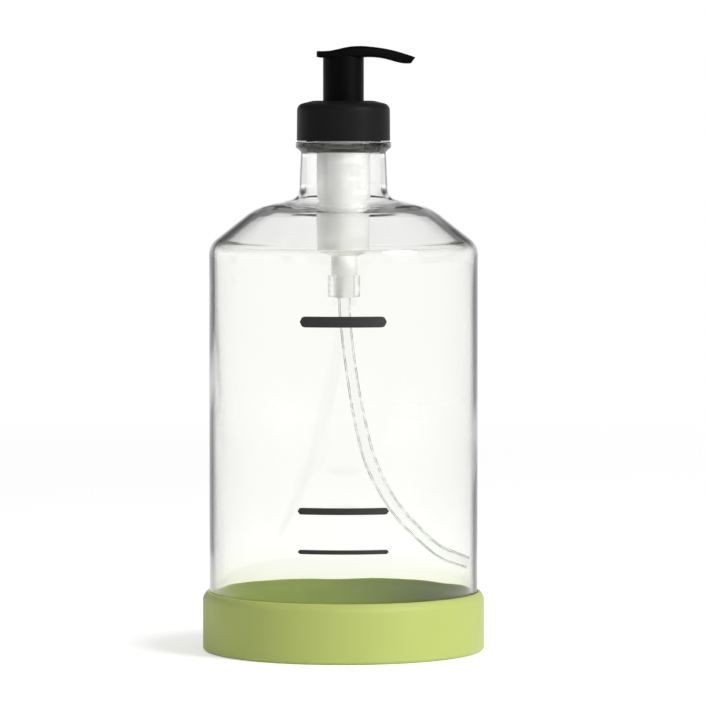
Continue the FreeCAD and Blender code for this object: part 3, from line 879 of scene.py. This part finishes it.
class BOTTLE_OT_glass(bpy.types.Operator):
    """Make the blown glass bottle and the thread on its mouth"""

    bl_idname = "bottle.glass"
    bl_label = "Glass bottle"

    def execute(self, context):
        scene = context.scene
        sizes, threads, soap = scene.bottle_glass, scene.bottle_threads, scene.bottle_soap
        colours = scene.bottle_colours
        dry = glassy_material("clear_glass", colours.glass, sizes.index)
        wet = glassy_material("wet_glass", colours.glass, sizes.index / soap.index)
        outside = glassy_material("outer_glass", colours.glass, sizes.index)
        # Painted shade at the outer glass's edges, left off the flat shoulder
        flat_shoulder = (sizes.crown + 0.7 * MM, sizes.neck_foot + 1.0 * MM)
        paint_edge_shade(
            outside, colours.glass, colours.rim_shade,
            band=(0.64, 0.78), scale=26.0, span=(0.26, 0.5), gap=flat_shoulder,
        )
        glass = glass_shape(sizes, soap.level)
        finish_piece(glass, [dry, wet, outside], "bottle", "clear_glass", "glass_bottle")
        start = GLASS_HIGH - threads.below_mouth
        ridge = thread_ridge("neck_thread", threads, sizes.mouth_radius, start, threads.width)
        finish_piece(ridge, [dry], "bottle", "clear_glass")
        return {"FINISHED"}


class BOTTLE_OT_soap(bpy.types.Operator):
    """Fill the bottle with soap up to its level"""

    bl_idname = "bottle.soap"
    bl_label = "Soap"

    def execute(self, context):
        scene = context.scene
        sizes, colours = scene.bottle_soap, scene.bottle_colours
        still = (20.0, 0.0)
        soap = soap_shape(scene.bottle_glass, sizes)
        body = glassy_material("soap_body", colours.soap, 1.0, still)
        self.paint_green_reflection(body, sizes, colours)
        surface = glassy_material("soap_surface", colours.soap, sizes.surface_index, still)
        finish_piece(soap, [body, surface], "bottle", "clear_glass")
        return {"FINISHED"}

    def paint_green_reflection(self, material, sizes, colours):
        """Painted reflection: tints the soap green towards its foot, for the boot's green that the
        glass heel reflects.
        """
        tree = material.node_tree
        unreflected = ramp(tree, height_in(tree), (sizes.reflection_low, sizes.reflection_high))
        tone = mix(tree, unreflected, rgba(colours.soap_reflected_green), rgba(colours.soap))
        wire(material, {"Base Color": tone})


class BOTTLE_OT_marks(bpy.types.Operator):
    """Print plain bars on the front of the glass"""

    bl_idname = "bottle.marks"
    bl_label = "Printed bars"

    # name, width, lower edge and height in millimetres
    bars = (
        ("bar_top", 25.8, 98.5, 3.2),
        ("bar_middle", 27.2, 43.8, 2.0),
        ("bar_foot", 27.2, 32.2, 1.3),
    )

    def execute(self, context):
        colours = context.scene.bottle_colours
        ink = moulded_material("ink", colours.ink, (0.4, 0.55), (4000.0, 0.1), 0.1)
        for name, width, low, height in self.bars:
            bar = wrapped_bar(name, GLASS_RADIUS, width * MM, low * MM, height * MM)
            finish_piece(bar, [ink], "bottle", "clear_glass")
        return {"FINISHED"}


class BOTTLE_OT_boot(bpy.types.Operator):
    """Give the silicone boot its matte green finish"""

    bl_idname = "bottle.boot"
    bl_label = "Silicone boot"

    def execute(self, context):
        colours = context.scene.bottle_colours
        material = moulded_material(
            "boot_silicone", colours.boot, (0.5, 0.62), (2600.0, 0.12), 0.08, specks=0.05
        )
        values = {
            "Subsurface Weight": 0.15,
            "Subsurface Radius": (0.002, 0.002, 0.001),
            "Subsurface Scale": 1.0,
            "Sheen Weight": 0.15,
        }
        tune(material, values)
        self.paint_inner_shade(material, colours)
        dress("silicone_boot", material)
        return {"FINISHED"}

    def paint_inner_shade(self, material, colours):
        """Painted shade: deepens the green on the side that faces the glass, for the shade inside
        the boot behind the glass and soap.
        """
        tree = material.node_tree
        radius = GLASS_RADIUS + 0.15 * MM
        inner = add(tree, "ShaderNodeGroup", {"Radius": radius}, node_tree=inner_side_group())
        outside = principled(material)["Base Color"].links[0].from_socket
        inner_shade = rgba(colours.boot_inner_shade)
        tone = mix(tree, inner.outputs["Mask"], outside, inner_shade, blend="MULTIPLY")
        wire(material, {"Base Color": tone})


class BOTTLE_OT_closure(bpy.types.Operator):
    """Give the cap its black finish and the thread inside it"""

    bl_idname = "bottle.closure"
    bl_label = "Screw cap"

    def execute(self, context):
        scene = context.scene
        threads = scene.bottle_threads
        material = moulded_material(
            "cap_black", scene.bottle_colours.cap, (0.4, 0.5), (3500.0, 0.05), 0.2
        )
        tune(material, {"Specular IOR Level": 0.07})
        dress("screw_cap", material)
        start = GLASS_HIGH - threads.below_mouth - threads.pitch / 2
        width = threads.width * threads.cap_share
        ridge = thread_ridge("cap_thread", threads, threads.cap_bore, start, width, inward=True)
        finish_piece(ridge, [material], "closure", "black_cap")
        return {"FINISHED"}


class BOTTLE_OT_head(bpy.types.Operator):
    """Give the pump head its satin black finish"""

    bl_idname = "bottle.head"
    bl_label = "Pump head"

    def execute(self, context):
        colours = context.scene.bottle_colours
        material = moulded_material("head_black", colours.head, (0.35, 0.48), (3000.0, 0.08), 0.2)
        tune(material, {"Specular IOR Level": 0.05})
        dress("pump_head", material)
        return {"FINISHED"}


class BOTTLE_OT_pump(bpy.types.Operator):
    """Give the pump's inner pieces their finishes"""

    bl_idname = "bottle.pump"
    bl_label = "Pump"

    def execute(self, context):
        colours = context.scene.bottle_colours
        pale = moulded_material("pale_plastic", colours.pale, (0.32, 0.45), (2500.0, 0.08), 0.06)
        milky = {
            "Subsurface Weight": 0.25,
            "Subsurface Radius": (0.002, 0.002, 0.002),
            "Subsurface Scale": 1.0,
        }
        tune(pale, milky)
        frosted = moulded_material(
            "frosted_plastic", colours.pale, (0.85, 0.95), (2500.0, 0.05), 0.0
        )
        tune(frosted, {"Transmission Weight": 0.6, "IOR": 1.25})
        let_light_through(frosted, colours.pale_light)
        clear = glassy_material("clear_plastic", colours.clear, 1.2, (300.0, 0.01 * MM), 0.05)
        # Painted shade: the clear ring and the tube darken where they turn away, in place of their
        # dark outlines from refraction
        paint_edge_shade(clear, colours.clear, colours.outline, strength=0.6)
        tube = glassy_material("tube_plastic", colours.clear, 1.08, (200.0, 0.02 * MM), 0.02)
        paint_edge_shade(tube, colours.clear, colours.outline, strength=0.9)
        steel = moulded_material(
            "spring_steel", colours.steel, (0.22, 0.4), (9000.0, 0.15), 0.15
        )
        tune(steel, {"Metallic": 1.0})
        ball = glassy_material("ball_glass", colours.ball, 1.5, (300.0, 0.002 * MM))
        rubber = moulded_material("soft_rubber", colours.rubber, (0.5, 0.6), (2500.0, 0.1))
        finishes = {
            frosted: ("pump_housing",),
            pale: ("stem_guide", "ball_retainer", "piston_stem", "air_piston",
                   "liquid_piston", "mesh_cartridge"),
            clear: ("tube_ring",),
            tube: ("dip_tube",),
            ball: ("inlet_ball", "outlet_ball"),
            rubber: ("neck_gasket", "air_valve"),
            steel: ("return_spring",),
            mesh_material("woven_nylon", colours.nylon): ("coarse_screen", "fine_screen"),
        }
        for material, names in finishes.items():
            for name in names:
                dress(name, material)
        return {"FINISHED"}


class BOTTLE_PT_panel(bpy.types.Panel):
    """Sidebar list of the bottle's steps and sizes"""

    bl_label = "Glass pump bottle"
    bl_idname = "BOTTLE_PT_panel"
    bl_space_type = "VIEW_3D"
    bl_region_type = "UI"
    bl_category = "Bottle"

    def draw(self, context):
        for operator in OPERATORS:
            self.layout.operator(operator.bl_idname)
        for name in GROUPS:
            box = self.layout.box()
            box.label(text=name.replace("bottle_", "").capitalize())
            group = getattr(context.scene, name)
            for key in GROUPS[name].__annotations__:
                box.prop(group, key)


GROUPS = {
    "bottle_glass": GlassSizes,
    "bottle_soap": SoapSizes,
    "bottle_threads": ThreadSizes,
    "bottle_colours": Colours,
    "bottle_stage": StageSettings,
}
OPERATORS = (
    BOTTLE_OT_stage,
    BOTTLE_OT_glass,
    BOTTLE_OT_soap,
    BOTTLE_OT_marks,
    BOTTLE_OT_boot,
    BOTTLE_OT_closure,
    BOTTLE_OT_head,
    BOTTLE_OT_pump,
)


def register():
    """Registers the classes and hangs the property groups on the scene."""
    for name, group in GROUPS.items():
        bpy.utils.register_class(group)
        setattr(bpy.types.Scene, name, PointerProperty(type=group))
    for operator in OPERATORS:
        bpy.utils.register_class(operator)
    bpy.utils.register_class(BOTTLE_PT_panel)


def unregister():
    """Undoes register."""
    bpy.utils.unregister_class(BOTTLE_PT_panel)
    for operator in reversed(OPERATORS):
        bpy.utils.unregister_class(operator)
    for name, group in reversed(GROUPS.items()):
        delattr(bpy.types.Scene, name)
        bpy.utils.unregister_class(group)


def main():
    register()
    bpy.context.scene.view_settings.view_transform = "Standard"
    for operator in OPERATORS:
        family, verb = operator.bl_idname.split(".")
        getattr(getattr(bpy.ops, family), verb)()


if __name__ == "__main__":
    main()
